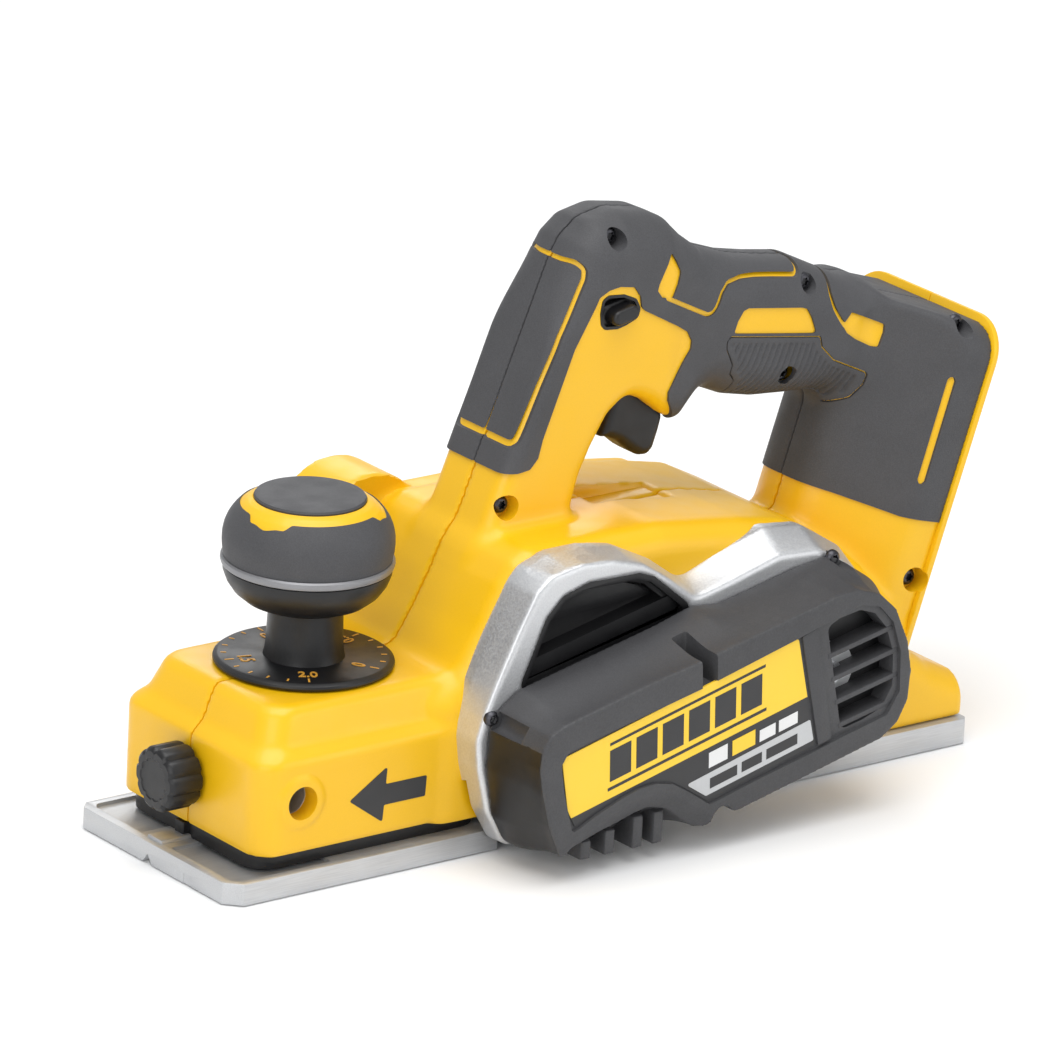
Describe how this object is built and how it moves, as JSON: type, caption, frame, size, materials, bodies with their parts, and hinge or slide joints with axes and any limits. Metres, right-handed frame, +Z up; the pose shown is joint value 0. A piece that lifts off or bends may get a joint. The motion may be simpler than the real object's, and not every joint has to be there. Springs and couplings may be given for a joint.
{
  "type": "electric hand planer",
  "caption": "Cordless electric hand planer with a belt-driven cutter drum, depth knob, fence rod clamp, D-handle with trigger and a battery slide.",
  "frame": {"origin": "centre of the rear shoe's sole face, on the plane that the planer stands on", "axes": "+X towards the heel and the battery end, +Y towards the dust port side (away from the belt cover), +Z up"},
  "size_m": [0.3079, 0.137, 0.1905],
  "materials": {
    "body_plastic": "satin moulded yellow plastic",
    "soft_grip": "fine-textured soft overmould",
    "black_plastic": "moulded black plastic",
    "cover_plastic": "spark-eroded dark grey plastic",
    "cast_metal": "painted casting",
    "shoe_metal": "machined",
    "steel": "ground",
    "dark_steel": "blackened",
    "bronze": "sintered",
    "print_plate": "printed plate",
    "winding": "laminations and enamelled wire",
    "circuit": "potted circuit"
  },
  "bodies": {
    "housing": {"left_housing": "body_plastic", "right_housing": "body_plastic", "left_handle": "body_plastic", "right_handle": "body_plastic", "left_overmould": "soft_grip", "right_overmould": "soft_grip", "drum_bracket": "cast_metal", "belt_cover": "cover_plastic", "belt_cover_screws": "dark_steel", "cover_label": "print_plate", "housing_screws": "dark_steel", "rear_shoe": "shoe_metal", "rear_shoe_screws": "steel", "shoe_spring": "steel", "chip_chute": "black_plastic", "chip_tube": "black_plastic", "dust_collar": "black_plastic", "fence_sleeve": "shoe_metal", "clamp_nut": "steel", "spindle_bush": "bronze", "drum_bearings": "steel", "drive_belt": "black_plastic", "motor_stator": "winding", "motor_bearings": "steel", "trigger_pin": "steel", "trigger_spring": "steel", "switch_module": "black_plastic", "control_module": "circuit", "battery_rails": "black_plastic", "terminal_block": "black_plastic", "terminal_blades": "bronze", "motor_leads": "black_plastic", "kickstand_pin": "steel"},
    "depth_knob": {"knob_spindle": "steel", "depth_dial": "black_plastic", "knob_stem": "black_plastic", "knob_bowl": "black_plastic", "knob_ring": "cast_metal", "knob_grip": "soft_grip", "knob_cap": "soft_grip"},
    "front_shoe": {"front_shoe": "shoe_metal", "shoe_skirt": "black_plastic"},
    "drum": {"drum_body": "steel", "drum_shaft": "steel", "drum_blades": "steel", "blade_clamps": "dark_steel", "blade_screws": "dark_steel", "drum_pulley": "shoe_metal"},
    "rotor": {"motor_rotor": "dark_steel", "motor_shaft": "steel", "motor_fan": "black_plastic", "motor_pulley": "shoe_metal"},
    "trigger": {"trigger": "black_plastic"},
    "lock_button": {"lock_button": "black_plastic"},
    "fence_clamp": {"thumb_knob": "black_plastic", "clamp_screw": "steel"},
    "kickstand": {"kickstand": "black_plastic"},
    "diverter": {"diverter_flap": "black_plastic"}
  },
  "joints": [
    {"name": "knob_turn", "type": "hinge", "parent": "housing", "child": "depth_knob", "pos_m": [-0.1555, 0, 0.06], "axis": [0, 0, 1], "range_deg": [0, 300]},
    {"name": "shoe_rise", "type": "slide", "parent": "housing", "child": "front_shoe", "axis": [0, 0, 1], "range_m": [0, 0.002], "deforming": ["shoe_spring"]},
    {"name": "drum_spin", "type": "hinge", "parent": "housing", "child": "drum", "pos_m": [-0.094, 0, 0.026], "axis": [0, 1, 0], "continuous": true},
    {"name": "rotor_spin", "type": "hinge", "parent": "housing", "child": "rotor", "pos_m": [-0.001, 0, 0.0485], "axis": [0, 1, 0], "continuous": true},
    {"name": "trigger_pull", "type": "hinge", "parent": "housing", "child": "trigger", "pos_m": [-0.035, 0, 0.1345], "axis": [0, -1, 0], "range_deg": [0, 9], "stiffness_Nm_per_rad": 0.4, "springref_deg": -17.19},
    {"name": "lock_push", "type": "slide", "parent": "housing", "child": "lock_button", "axis": [0, 1, 0], "range_m": [-0.003, 0.003], "stiffness_N_per_m": 400},
    {"name": "clamp_turn", "type": "hinge", "parent": "housing", "child": "fence_clamp", "pos_m": [-0.205, 0, 0.029], "axis": [1, 0, 0], "range_deg": [-540, 0]},
    {"name": "kickstand_drop", "type": "hinge", "parent": "housing", "child": "kickstand", "pos_m": [0.052, 0, 0.0048], "axis": [0, 1, 0], "range_deg": [0, 70]},
    {"name": "diverter_swing", "type": "hinge", "parent": "housing", "child": "diverter", "pos_m": [-0.084, 0, 0.0824], "axis": [1, 0, 0], "range_deg": [0, 76]}
  ],
  "couplings": [
    {"joint": "shoe_rise", "follows": "knob_turn", "m_per_rad": 0.00038197},
    {"joint": "rotor_spin", "follows": "drum_spin", "ratio": 1.4}
  ]
}
